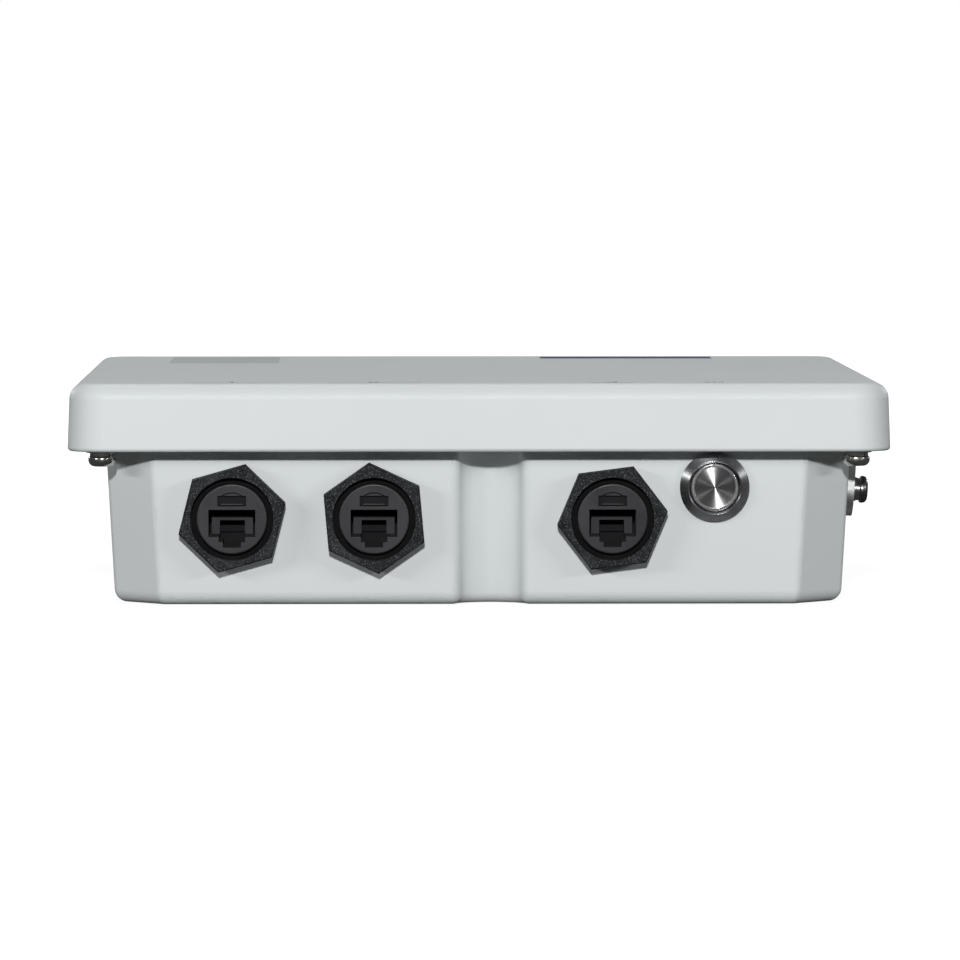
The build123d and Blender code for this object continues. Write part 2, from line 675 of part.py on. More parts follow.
def make_earth():
    """Earth bracket on the right wall with its screw, washers, nut, lug and inner lead."""
    wall = side_wall(EARTH_Y, EARTH_Z)
    end_r = EARTH_PLATE_W / 2
    plate = Circle(end_r) + Pos(0, EARTH_PLATE_TOP / 2) * Rectangle(EARTH_PLATE_W, EARTH_PLATE_TOP)
    plate -= Circle(EARTH_SCREW_R + SNUG)
    head_low = EARTH_PLATE_T + 2 * EARTH_WASHER_T
    screw = pan_head(EARTH_HEAD_R, EARTH_HEAD_H, head_low)
    screw -= cross_slot(EARTH_HEAD_R, EARTH_HEAD_H * 0.6, head_low + EARTH_HEAD_H)
    nut_top = -BASE_WALL - LUG_T
    screw += rod(EARTH_SCREW_R, nut_top - EARTH_NUT_T - 1.5, head_low)
    washers = []
    for step in range(2):
        low = EARTH_PLATE_T + step * EARTH_WASHER_T
        radius = EARTH_WASHER_R - 0.2 * step
        washers.append(wall * tube(radius, EARTH_SCREW_R + SNUG, low, low + EARTH_WASHER_T))
    nut = hex_ring(EARTH_NUT_AF, EARTH_SCREW_R + SNUG, nut_top - EARTH_NUT_T, nut_top, 0)
    lug = Circle(LUG_R) + Pos(LUG_R + 1.0, 0) * Rectangle(6.0, 2 * LUG_BARREL_R)
    lug = extrude(Pos(0, 0, nut_top) * (lug - Circle(EARTH_SCREW_R + SNUG)), amount=LUG_T)
    crimp_start = LUG_R + 4.0
    crimp_centre = nut_top - LUG_BARREL_R + LUG_T
    crimp = Plane(origin=(crimp_start, 0, crimp_centre), x_dir=(0, 0, 1), z_dir=(1, 0, 0))
    lug += crimp * rod(LUG_BARREL_R, 0.0, 6.0)

    exit_plane = inner_plane(wall, (crimp_start + 6.0, 0, crimp_centre), (0, 0, 1), (1, 0, 0))
    start = exit_plane.origin
    foot = Vector(EARTH_POST_X, EARTH_POST_Y, BOARD_TOP + EARTH_POST_H)
    points = [start, start + Vector(0, 18.0, 0), foot + Vector(0, 0, 15.5), foot]
    post = block(6.0, 6.0, BOARD_TOP, BOARD_TOP + EARTH_POST_H, EARTH_POST_X, EARTH_POST_Y)
    return {
        "earth_bracket": [wall * extrude(plate, amount=EARTH_PLATE_T)],
        "earth_screw": [wall * screw],
        "earth_washers": washers,
        "earth_nut": [wall * nut],
        "earth_lug": [wall * lug],
        "earth_lead": [lead(points, LEAD_R, "earth lead")],
        "earth_post": [post],
    }


def make_board():
    """Controller board with its screws and the parts soldered on it."""
    board = block(2 * BOARD_HX, 2 * BOARD_HY, BOARD_Z, BOARD_TOP)
    screws = []
    for sx, sy in SIGNS:
        hole = Pos(sx * BOARD_HOLE_X, sy * BOARD_HOLE_Y)
        board -= hole * rod(BOARD_SCREW_R + WALL_HOLE_GAP, BOARD_Z, BOARD_TOP)
        screw = pan_screw(BOARD_SCREW_R - 0.2 - SNUG, 2.8, 2.0, BOARD_T + 4.0)
        screws.append(hole * Pos(0, 0, BOARD_TOP) * screw)
    chips = []
    for x, y, width, depth, height in CHIPS:
        chips.append(block(width, depth, BOARD_TOP, BOARD_TOP + height, x, y))
    caps = []
    for x, y in CANS:
        can = rod(CAN_R, BOARD_TOP, BOARD_TOP + CAN_H)
        caps.append(Pos(x, y) * fillet(can.faces().sort_by(Axis.Z)[-1].edges(), 0.6))
    shield = block(SHIELD_W, SHIELD_L, BOARD_TOP, BOARD_TOP + SHIELD_H, SHIELD_X, SHIELD_Y)
    hollow_w = SHIELD_W - 2 * SHIELD_T
    hollow_l = SHIELD_L - 2 * SHIELD_T
    shield -= block(hollow_w, hollow_l, BOARD_TOP, BOARD_TOP + SHIELD_H - SHIELD_T, SHIELD_X, SHIELD_Y)
    rail_top = BOARD_TOP + RAIL_H
    terminal = block(RAIL_W, RAIL_L, BOARD_TOP, rail_top, RAIL_X, RAIL_Y)
    for index in range(RAIL_WAYS):
        x = RAIL_X + (index - (RAIL_WAYS - 1) / 2) * RAIL_PITCH
        terminal -= block(3.6, 3.0, BOARD_TOP + 2.0, BOARD_TOP + 6.5, x, RAIL_Y + 3.0)
        terminal -= Pos(x, RAIL_Y - 1.5) * rod(1.5, rail_top - 2.0, rail_top)
    spot = Pos(0.0, CELL_Y)
    holder = spot * tube(CELL_HOLDER_R, CELL_R + 2 * SNUG, BOARD_TOP, BOARD_TOP + 2.6)
    holder += spot * rod(CELL_HOLDER_R, BOARD_TOP, BOARD_TOP + CELL_FLOOR)
    cell = spot * rod(CELL_R, BOARD_TOP + CELL_FLOOR, BOARD_TOP + CELL_FLOOR + CELL_H)
    return {
        "controller_board": [board],
        "board_screws": screws,
        "board_chips": chips,
        "board_capacitors": caps,
        "radio_shield": [shield],
        "board_terminal_block": [terminal],
        "coin_cell_holder": [holder],
        "coin_cell": [cell],
    }


def make_mount_inserts():
    """Threaded inserts in the back for the wall plate or rail clip."""
    inserts = []
    for sx, sy in SIGNS:
        insert = tube(MOUNT_INSERT_R, MOUNT_THREAD_R, 0.2, 0.2 + MOUNT_INSERT_L)
        inserts.append(Pos(sx * MOUNT_X, sy * MOUNT_Y) * insert)
    return inserts


def main():
    """Build every node and write one STEP file for each."""
    os.makedirs("parts", exist_ok=True)
    screws, springs, flats, inserts = screw_stack()
    nodes = {
        "base_shell": make_base_shell(),
        "front_cover": make_front_cover(),
        "cover_gasket": make_cover_gasket(),
        "cover_screws": screws,
        "cover_spring_washers": springs,
        "cover_flat_washers": flats,
        "cover_inserts": inserts,
        "cover_marks": mark_solids(),
        "cover_badge": [badge_solid()],
        "cover_label": [label_solid()],
        "mounting_inserts": make_mount_inserts(),
    }
    for group in (make_ports(), make_button(), make_earth(), make_board()):
        nodes.update(group)
    for name, solids in nodes.items():
        pieces = []
        for solid in solids:
            pieces += solid.solids()
        export_step(Compound(children=pieces), f"parts/{name}.step")
        print(name, len(pieces), f"{sum(piece.volume for piece in pieces):.1f} mm3")


main()
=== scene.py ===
"""Looks of a small network gateway enclosure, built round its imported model.

Every size is in metres. X runs across the connector wall, Y away from it and Z out of the cover.
"""

import logging
import math
from dataclasses import dataclass
from enum import Enum
from typing import Callable, Sequence

import bmesh
import bpy
import numpy as np
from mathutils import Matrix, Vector

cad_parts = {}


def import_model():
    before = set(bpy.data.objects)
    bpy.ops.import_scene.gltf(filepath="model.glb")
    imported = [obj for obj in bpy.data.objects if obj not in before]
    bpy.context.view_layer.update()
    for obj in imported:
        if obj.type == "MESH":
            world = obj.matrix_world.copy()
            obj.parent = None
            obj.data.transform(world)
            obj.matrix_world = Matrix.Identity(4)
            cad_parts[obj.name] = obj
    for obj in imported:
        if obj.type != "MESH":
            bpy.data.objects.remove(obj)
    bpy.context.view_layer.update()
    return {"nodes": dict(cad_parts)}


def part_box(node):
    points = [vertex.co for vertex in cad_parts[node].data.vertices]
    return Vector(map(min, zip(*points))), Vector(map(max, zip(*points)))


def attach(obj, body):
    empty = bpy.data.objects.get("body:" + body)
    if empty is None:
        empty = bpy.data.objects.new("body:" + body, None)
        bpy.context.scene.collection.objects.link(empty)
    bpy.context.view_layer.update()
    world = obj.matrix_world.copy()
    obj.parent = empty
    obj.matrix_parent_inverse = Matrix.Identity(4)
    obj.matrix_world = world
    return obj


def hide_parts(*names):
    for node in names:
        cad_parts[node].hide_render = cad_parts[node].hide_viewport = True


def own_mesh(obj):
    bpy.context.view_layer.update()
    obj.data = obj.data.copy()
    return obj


log = logging.getLogger("gateway")
MM = 0.001
Colour = tuple[float, float, float]
Point = tuple[float, float, float]

PORT_XS = (-63.1 * MM, -26.9 * MM, 33.9 * MM)
LEAN = math.radians(3.2)
WALL_LEAN = math.tan(LEAN)
OUTPUTS = ("Relief", "Tone", "Gloss")
BLOCK_AROUND = 12
BLOCK_UP = 7
WELD = 1e-7
FLECK_EDGE = 0.22
FLECK_GLOSS = 0.4
GROUND_GLOSS = 0.75
TRACK_RINGS = 6.0
TRACK_EDGE = 0.27
BRUSH_STRETCH = (0.02, 1.0, 1.0)


class Grain(Enum):
    """How the surface of a finish is broken up."""

    MOULDED = "moulded"
    SPECKLED = "speckled"
    SATIN = "satin"
    BRUSHED = "brushed"
    TRACKS = "tracks"


class GroupMaker:
    """Small helper that builds one shader node group with named sockets."""

    def __init__(self, name: str) -> None:
        """Start an empty group.

        Args:
            name: Name of the group.
        """
        self.tree = bpy.data.node_groups.new(name, "ShaderNodeTree")
        self.source = self.tree.nodes.new("NodeGroupInput")
        self.sink = self.tree.nodes.new("NodeGroupOutput")

    def takes(self, name: str, value: float | None = None) -> None:
        """Add an input socket.

        Args:
            name: Name of the socket.
            value: Start value, or None for a vector.
        """
        kind = "NodeSocketVector" if value is None else "NodeSocketFloat"
        socket = self.tree.interface.new_socket(name=name, in_out="INPUT", socket_type=kind)
        if value is not None:
            socket.default_value = value

    def gives(self, name: str) -> None:
        """Add a number as an output socket.

        Args:
            name: Name of the socket.
        """
        self.tree.interface.new_socket(name=name, in_out="OUTPUT", socket_type="NodeSocketFloat")

    def node(self, kind: str, **settings: object) -> bpy.types.Node:
        """Add a node with its settings.

        Args:
            kind: Node type without its ShaderNode prefix.
            **settings: Attributes to set on the node.

        Returns:
            The new node.
        """
        made = self.tree.nodes.new("ShaderNode" + kind)
        for key, value in settings.items():
            setattr(made, key, value)
        return made

    def wire(self, start: bpy.types.NodeSocket, end: bpy.types.NodeSocket) -> None:
        """Join two sockets."""
        self.tree.links.new(start, end)

    def maths(self, operation: str, first: object, second: object = 0.0) -> bpy.types.NodeSocket:
        """Add one sum.

        Args:
            operation: Name of the sum.
            first: Socket or number.
            second: Socket or number.

        Returns:
            The socket with the result.
        """
        made = self.node("Math", operation=operation)
        for index, value in enumerate((first, second)):
            if isinstance(value, (int, float)):
                made.inputs[index].default_value = value
            else:
                self.wire(value, made.inputs[index])
        return made.outputs[0]

    def noise(self, vector: object, scale: object, detail: float) -> bpy.types.NodeSocket:
        """Add a noise field.

        Args:
            vector: Socket with the place.
            scale: Socket or number with the noise scale.
            detail: Number of octaves.

        Returns:
            The socket with the noise from 0 to 1.
        """
        made = self.node("TexNoise")
        made.inputs["Detail"].default_value = detail
        self.wire(vector, made.inputs["Vector"])
        if isinstance(scale, (int, float)):
            made.inputs["Scale"].default_value = scale
        else:
            self.wire(scale, made.inputs["Scale"])
        return made.outputs[0]

    def blend(self, first: bpy.types.NodeSocket, second: bpy.types.NodeSocket,
              share: float) -> bpy.types.NodeSocket:
        """Mix two fields by fixed shares.

        Args:
            first: Socket with the first field.
            second: Socket with the second field.
            share: Share of the first; the second takes the rest.

        Returns:
            The socket with the mix.
        """
        return self.maths("ADD", self.maths("MULTIPLY", first, share),
                          self.maths("MULTIPLY", second, round(1.0 - share, 6)))

    def finish(self, outputs: dict[str, bpy.types.NodeSocket]) -> bpy.types.NodeTree:
        """Wire the outputs and return the group.

        Args:
            outputs: Output name to the socket that feeds it.

        Returns:
            The finished group.
        """
        for name, socket in outputs.items():
            self.wire(socket, self.sink.inputs[name])
        return self.tree


def surface_group(name: str, grains: float) -> tuple[GroupMaker, bpy.types.NodeSocket, bpy.types.NodeSocket]:
    """Start a surface group with its sockets.

    Args:
        name: Name of the group.
        grains: Start value of the grains per metre.

    Returns:
        The maker, the socket with the place and the socket with the grains per metre.
    """
    maker = GroupMaker(name)
    maker.takes("Place")
    maker.takes("Grains per metre", grains)
    for output in OUTPUTS:
        maker.gives(output)
    return maker, maker.source.outputs["Place"], maker.source.outputs["Grains per metre"]


def moulded_group() -> bpy.types.NodeTree:
    """Spark-eroded mould texture: fine noise for relief, broad noise for tone.

    Returns:
        Group with Relief, Tone and Gloss.
    """
    maker, place, grains = surface_group("mould_texture", 2600.0)
    fine = maker.noise(place, scale=grains, detail=3.0)
    broad = maker.noise(place, scale=14.0, detail=4.0)
    streak = maker.noise(place, scale=60.0, detail=2.0)
    tone = maker.blend(broad, fine, share=0.75)
    gloss = maker.blend(streak, fine, share=0.6)
    return maker.finish({"Relief": fine, "Tone": tone, "Gloss": gloss})


def speckle_group() -> bpy.types.NodeTree:
    """Glass-filled nylon: short bright flecks on a matt ground, from stretched cells.

    Returns:
        Group with Relief, Tone and Gloss.
    """
    maker, place, grains = surface_group("fibre_speckle", 2600.0)
    cells = maker.node("TexVoronoi")
    maker.wire(place, cells.inputs["Vector"])
    maker.wire(grains, cells.inputs["Scale"])
    fine = maker.noise(place, scale=grains, detail=4.0)
    fleck = maker.maths("GREATER_THAN", maker.maths("SUBTRACT", fine, cells.outputs["Distance"]), FLECK_EDGE)
    ground = maker.noise(place, scale=120.0, detail=3.0)
    tone = maker.blend(ground, fleck, share=0.55)
    gloss = maker.maths("SUBTRACT", GROUND_GLOSS, maker.maths("MULTIPLY", fleck, FLECK_GLOSS))
    return maker.finish({"Relief": fine, "Tone": tone, "Gloss": gloss})


def satin_group() -> bpy.types.NodeTree:
    """Smooth surface with faint handling marks: two soft noise fields of different size.

    Returns:
        Group with Relief, Tone and Gloss.
    """
    maker, place, grains = surface_group("satin_marks", 900.0)
    soft = maker.noise(place, scale=90.0, detail=5.0)
    fine = maker.noise(place, scale=grains, detail=2.0)
    tone = maker.blend(soft, fine, share=0.6)
    return maker.finish({"Relief": fine, "Tone": tone, "Gloss": soft})


def brushed_group() -> bpy.types.NodeTree:
    """Drawn metal: noise stretched fifty to one along local X.

    Returns:
        Group with Relief, Tone and Gloss.
    """
    maker, place, grains = surface_group("drawn_metal", 4000.0)
    stretch = maker.node("Mapping")
    stretch.inputs["Scale"].default_value = BRUSH_STRETCH
    maker.wire(place, stretch.inputs["Vector"])
    lines = maker.noise(stretch.outputs[0], scale=grains, detail=2.0)
    broad = maker.noise(place, scale=150.0, detail=3.0)
    tone = maker.blend(lines, broad, share=0.5)
    return maker.finish({"Relief": lines, "Tone": tone, "Gloss": broad})


def tracks_group() -> bpy.types.NodeTree:
    """Circuit board: copper tracks under solder mask, from the borders of square-metric cells.

    Returns:
        Group with Relief, Tone and Gloss.
    """
    maker, place, grains = surface_group("board_tracks", 260.0)
    cells = maker.node("TexVoronoi", distance="CHEBYCHEV", feature="F1")
    maker.wire(place, cells.inputs["Vector"])
    maker.wire(grains, cells.inputs["Scale"])
    bands = maker.maths("PINGPONG", maker.maths("MULTIPLY", cells.outputs["Distance"], TRACK_RINGS), 0.5)
    track = maker.maths("GREATER_THAN", bands, TRACK_EDGE)
    weave = maker.noise(place, scale=1500.0, detail=2.0)
    tone = maker.blend(track, weave, share=0.7)
    return maker.finish({"Relief": track, "Tone": tone, "Gloss": weave})


MAKERS: dict[Grain, Callable[[], bpy.types.NodeTree]] = {
    Grain.MOULDED: moulded_group,
    Grain.SPECKLED: speckle_group,
    Grain.SATIN: satin_group,
    Grain.BRUSHED: brushed_group,
    Grain.TRACKS: tracks_group,
}


def port_shade_group() -> bpy.types.NodeTree:
    """Build the mask of the painted shade: a block-shaped recess that repeats at the three ports, where the
    colour is darkened to stand for shade.

    It is one where the distance across from the nearest port is under Half, the height is between Low and
    High, and the depth, y plus the wall's lean times z, is over Depth.

    Returns:
        The group.
    """
    group = GroupMaker("port_shade")
    group.takes("Place")
    for name in ("Half", "Low", "High", "Depth"):
        group.takes(name, 0.0)
    group.gives("Inside")
    apart = group.node("SeparateXYZ")
    group.wire(group.source.outputs["Place"], apart.inputs[0])
    away = [group.maths("ABSOLUTE", group.maths("SUBTRACT", apart.outputs[0], x)) for x in PORT_XS]
    nearest = group.maths("MINIMUM", group.maths("MINIMUM", away[0], away[1]), away[2])
    height = apart.outputs[2]
    depth = group.maths("ADD", apart.outputs[1], group.maths("MULTIPLY", height, WALL_LEAN))
    limits = group.source.outputs
    inside = group.maths("LESS_THAN", nearest, limits["Half"])
    for operation, value, limit in (("GREATER_THAN", height, "Low"), ("LESS_THAN", height, "High"),
                                    ("GREATER_THAN", depth, "Depth")):
        inside = group.maths("MULTIPLY", inside, group.maths(operation, value, limits[limit]))
    return group.finish({"Inside": inside})


@dataclass(frozen=True)
class PaintedShade:
    """Painted shade in a recess at each port: half width, heights, depth where it starts, and tone of the
    darkened colour.
    """

    half: float
    low: float
    high: float
    depth: float
    tone: float


@dataclass(frozen=True)
class Finish:
    """One surface finish and how much its grain shows."""

    name: str
    colour: Colour
    roughness: float = 0.5
    metallic: float = 0.0
    grain: Grain = Grain.SATIN
    grains: float = 2600.0
    relief: float = 0.02 * MM
    strength: float = 0.25
    spread: float = 0.08
    gloss_spread: float = 0.08
    edge: float = 0.0
    coat: float = 0.0
    anisotropic: float = 0.0
    specular: float = 0.5
    turned: float = 0.0
    painted_shades: tuple[PaintedShade, ...] = ()


class Paintbox:
    """Makes each material once, from its finish, out of shared effect groups."""

    def __init__(self) -> None:
        """Start with no groups and no materials."""
        self.groups: dict[Grain, bpy.types.NodeTree] = {}
        self.made: dict[str, bpy.types.Material] = {}
        self.painted_shade_mask: bpy.types.NodeTree | None = None

    def group(self, grain: Grain) -> bpy.types.NodeTree:
        """Return the shared group of a grain, building it the first time."""
        if grain not in self.groups:
            self.groups[grain] = MAKERS[grain]()
        return self.groups[grain]

    def material(self, finish: Finish) -> bpy.types.Material:
        """Return the material of a finish, building it the first time.

        Args:
            finish: The finish to build.

        Returns:
            The material.
        """
        if finish.name in self.made:
            return self.made[finish.name]
        material = bpy.data.materials.new(finish.name)
        material.use_nodes = True
        tree = material.node_tree
        shader = tree.nodes["Principled BSDF"]
        shader.inputs["Metallic"].default_value = finish.metallic
        shader.inputs["Coat Weight"].default_value = finish.coat
        shader.inputs["Anisotropic"].default_value = finish.anisotropic
        shader.inputs["Specular IOR Level"].default_value = finish.specular
        place = tree.nodes.new("ShaderNodeTexCoord").outputs["Object"]
        effect = tree.nodes.new("ShaderNodeGroup")
        effect.node_tree = self.group(finish.grain)
        effect.inputs["Grains per metre"].default_value = finish.grains
        tree.links.new(place, effect.inputs["Place"])

        ramp = tree.nodes.new("ShaderNodeValToRGB")
        dark = [max(value * (1 - finish.spread), 0.0) for value in finish.colour]
        light = [min(value * (1 + finish.spread) + 0.004, 1.0) for value in finish.colour]
        ramp.color_ramp.elements[0].position = 0.3
        ramp.color_ramp.elements[0].color = (*dark, 1.0)
        ramp.color_ramp.elements[1].position = 0.7
        ramp.color_ramp.elements[1].color = (*light, 1.0)
        tree.links.new(effect.outputs["Tone"], ramp.inputs[0])
        # Painted shade: inside each mask the colour goes over to a darker copy of the finish's colour, and
        # further down the roughness goes to one.
        masks = [self.mask(tree, place, painted_shade) for painted_shade in finish.painted_shades]
        colour = ramp.outputs[0]
        for painted_shade, mask in zip(finish.painted_shades, masks):
            shade_colour = (*(value * painted_shade.tone for value in finish.colour), 1.0)
            colour = self.blend(tree, "RGBA", mask, colour, shade_colour)
        tree.links.new(colour, shader.inputs["Base Color"])
        if finish.turned > 0:
            tangent = tree.nodes.new("ShaderNodeTangent")
            tangent.direction_type = "RADIAL"
            tangent.axis = "Y"
            tree.links.new(tangent.outputs[0], shader.inputs["Tangent"])
            shader.inputs["Anisotropic Rotation"].default_value = finish.turned

        gloss = tree.nodes.new("ShaderNodeMapRange")
        gloss.inputs["From Min"].default_value = 0.3
        gloss.inputs["From Max"].default_value = 0.7
        gloss.inputs["To Min"].default_value = max(finish.roughness - finish.gloss_spread, 0.04)
        gloss.inputs["To Max"].default_value = min(finish.roughness + finish.gloss_spread, 1.0)
        tree.links.new(effect.outputs["Gloss"], gloss.inputs["Value"])
        rough = gloss.outputs[0]
        for mask in masks:
            rough = self.blend(tree, "FLOAT", mask, rough, 1.0)
        tree.links.new(rough, shader.inputs["Roughness"])

        bump = tree.nodes.new("ShaderNodeBump")
        bump.inputs["Strength"].default_value = finish.strength
        bump.inputs["Distance"].default_value = finish.relief
        tree.links.new(effect.outputs["Relief"], bump.inputs["Height"])
        if finish.edge > 0:
            bevel = tree.nodes.new("ShaderNodeBevel")
            bevel.samples = 4
            bevel.inputs["Radius"].default_value = finish.edge
            tree.links.new(bevel.outputs[0], bump.inputs["Normal"])
        tree.links.new(bump.outputs[0], shader.inputs["Normal"])
        self.made[finish.name] = material
        return material

    def mask(self, tree: bpy.types.NodeTree, place: bpy.types.NodeSocket,
             painted_shade: PaintedShade) -> bpy.types.NodeSocket:
        """Add the mask of one block of painted shade.

        Args:
            tree: Node tree of the material.
            place: Socket with the place.
            painted_shade: The block of painted shade.

        Returns:
            The socket with the mask.
        """
        if self.painted_shade_mask is None:
            self.painted_shade_mask = port_shade_group()
        mask = tree.nodes.new("ShaderNodeGroup")
        mask.node_tree = self.painted_shade_mask
        tree.links.new(place, mask.inputs["Place"])
        values = (painted_shade.half, painted_shade.low, painted_shade.high, painted_shade.depth)
        for name, value in zip(("Half", "Low", "High", "Depth"), values):
            mask.inputs[name].default_value = value
        return mask.outputs["Inside"]

    def blend(self, tree: bpy.types.NodeTree, kind: str, mask: bpy.types.NodeSocket,
              outside: bpy.types.NodeSocket, inside: object) -> bpy.types.NodeSocket:
        """Go over to a fixed value inside a mask.

        Args:
            tree: Node tree of the material.
            kind: RGBA or FLOAT.
            mask: Socket with the mask.
            outside: Socket with what holds outside.
            inside: Colour or number that holds inside.

        Returns:
            The socket with the result.
        """
        mix = tree.nodes.new("ShaderNodeMix")
        mix.data_type = kind
        live = [socket for socket in mix.inputs if socket.enabled]
        tree.links.new(mask, live[0])
        tree.links.new(outside, live[1])
        live[2].default_value = inside
        return next(socket for socket in mix.outputs if socket.enabled)

    def dress(self, nodes: dict[str, bpy.types.Object], names: Sequence[str], finish: Finish) -> None:
        """Give carried-over nodes a finish.

        Args:
            nodes: Node name to object.
            names: Nodes to dress.
            finish: Finish for all of them.
        """
        for name in names:
            slots = nodes[name].data.materials
            if not slots:
                slots.append(None)
            for index in range(len(slots)):
                slots[index] = self.material(finish)
            log.info("dressed %s with %s", name, finish.name)


# Painted shade at each port: the jack opening in the core, the latch notch, and the middle recess of the
# inner block.
JACK_PAINTED_SHADE = PaintedShade(6.3 * MM, 14.4 * MM, 29.6 * MM, -93.74 * MM, 0.45)
LATCH_PAINTED_SHADE = PaintedShade(3.6 * MM, 14.4 * MM, 17.8 * MM, -93.74 * MM, 0.30)
PLUG_PAINTED_SHADE = PaintedShade(3.25 * MM, 17.7 * MM, 21.9 * MM, -86.20 * MM, 0.60)

ENCLOSURE = Finish("enclosure_plastic", (0.70, 0.735, 0.735), 0.52, 0.0, Grain.MOULDED, 2600.0,
                   0.03 * MM, 0.22, 0.02, 0.02, 0.35 * MM)
# Black rubber. Its colour is set darker than bare rubber as painted shade, so the deep port grooves read as
# shade.
RUBBER = Finish("gasket_rubber", (0.0035, 0.0035, 0.004), 0.80, 0.0, Grain.SATIN, 1500.0, 0.02 * MM, 0.3, 0.2,
                specular=0.12)
NYLON = Finish("black_nylon", (0.044, 0.048, 0.053), 0.60, 0.0, Grain.SPECKLED, 2200.0,
               0.08 * MM, 0.5, 0.75, 0.12, 0.25 * MM, specular=0.25)
CORE = Finish("dark_core_plastic", (0.022, 0.0225, 0.0255), 0.42, 0.0, Grain.SATIN, 1800.0,
              0.02 * MM, 0.2, 0.2, 0.06, 0.12 * MM, specular=0.4, painted_shades=(JACK_PAINTED_SHADE,))
# Grey plastic of the inner jack blocks. Its colour is set near black as painted shade deep inside the jacks,
# and the painted shade blocks darken it further.
INNER = Finish("grey_plastic", (0.020, 0.0205, 0.024), 0.42, 0.0, Grain.SATIN, 1500.0, 0.02 * MM, 0.2, 0.12,
               specular=0.35, painted_shades=(LATCH_PAINTED_SHADE, PLUG_PAINTED_SHADE))
STAINLESS = Finish("stainless_steel", (0.58, 0.58, 0.56), 0.20, 1.0, Grain.BRUSHED, 3000.0,
                   0.01 * MM, 0.15, 0.10, 0.08, 0.15 * MM)
DULL_STEEL = Finish("dull_steel", (0.22, 0.225, 0.22), 0.25, 1.0, Grain.BRUSHED, 3000.0,
                    0.01 * MM, 0.15, 0.12, 0.06, 0.15 * MM)
BEZEL = Finish("dark_plated_steel", (0.36, 0.36, 0.37), 0.30, 1.0, Grain.BRUSHED, 3000.0,
               0.01 * MM, 0.15, 0.12, 0.06, 0.12 * MM, anisotropic=0.85, turned=0.25)
CAP = Finish("spun_steel", (0.60, 0.60, 0.61), 0.25, 1.0, Grain.SATIN, 2500.0, 0.01 * MM, 0.1, 0.05, 0.05,
             0.1 * MM)
ZINC = Finish("zinc_plate", (0.62, 0.63, 0.63), 0.45, 1.0, Grain.SATIN, 700.0, 0.02 * MM, 0.2, 0.25, 0.12,
              0.15 * MM)
BRASS = Finish("brass_insert", (0.72, 0.52, 0.22), 0.32, 1.0, Grain.BRUSHED, 2500.0, 0.02 * MM, 0.2, 0.1)
GOLD = Finish("gold_contact", (0.82, 0.60, 0.24), 0.22, 1.0, Grain.BRUSHED, 4000.0, 0.01 * MM, 0.1, 0.06)
TIN = Finish("tinned_copper", (0.62, 0.62, 0.60), 0.30, 1.0, Grain.SATIN, 900.0, 0.02 * MM, 0.2, 0.1)
SPRING = Finish("spring_steel", (0.5, 0.5, 0.51), 0.25, 1.0, Grain.BRUSHED, 3000.0, 0.01 * MM, 0.1, 0.1)
CAN = Finish("can_aluminium", (0.62, 0.63, 0.64), 0.30, 1.0, Grain.BRUSHED, 2500.0, 0.01 * MM, 0.1, 0.06)
BLACK = Finish("black_gloss_plastic", (0.018, 0.018, 0.019), 0.5, 0.0, Grain.SATIN, 1600.0, 0.02 * MM, 0.15,
               0.2, 0.08, 0.15 * MM)
EPOXY = Finish("chip_epoxy", (0.025, 0.025, 0.027), 0.6, 0.0, Grain.MOULDED, 5000.0, 0.02 * MM, 0.3, 0.25)
CREAM = Finish("cream_plastic", (0.68, 0.63, 0.50), 0.4, 0.0, Grain.SATIN, 1200.0, 0.02 * MM, 0.2, 0.05)
PLUG = Finish("clear_grey_plastic", (0.50, 0.53, 0.54), 0.18, 0.0, Grain.SATIN, 800.0, 0.01 * MM, 0.1, 0.08)
JACKET = Finish("lead_jacket", (0.045, 0.046, 0.05), 0.5, 0.0, Grain.SATIN, 1400.0, 0.02 * MM, 0.25, 0.15)
EARTH = Finish("earth_jacket", (0.12, 0.36, 0.06), 0.45, 0.0, Grain.SATIN, 1400.0, 0.02 * MM, 0.25, 0.1)
MASK = Finish("green_laminate", (0.012, 0.115, 0.045), 0.33, 0.0, Grain.TRACKS, 240.0, 0.03 * MM, 0.25, 0.45)
GREEN = Finish("green_plastic", (0.03, 0.30, 0.11), 0.4, 0.0, Grain.SATIN, 1200.0, 0.02 * MM, 0.2, 0.1)
DARK_PRINT = Finish("dark_print", (0.030, 0.032, 0.040), 0.5, 0.0, Grain.MOULDED, 2600.0, 0.02 * MM, 0.2, 0.2)
BLUE_PRINT = Finish("blue_print", (0.012, 0.016, 0.115), 0.48, 0.0, Grain.MOULDED, 2600.0, 0.02 * MM, 0.2,
                    0.15)
PALE_LABEL = Finish("pale_label", (0.54, 0.57, 0.585), 0.5, 0.0, Grain.MOULDED, 2600.0, 0.02 * MM, 0.2, 0.03)

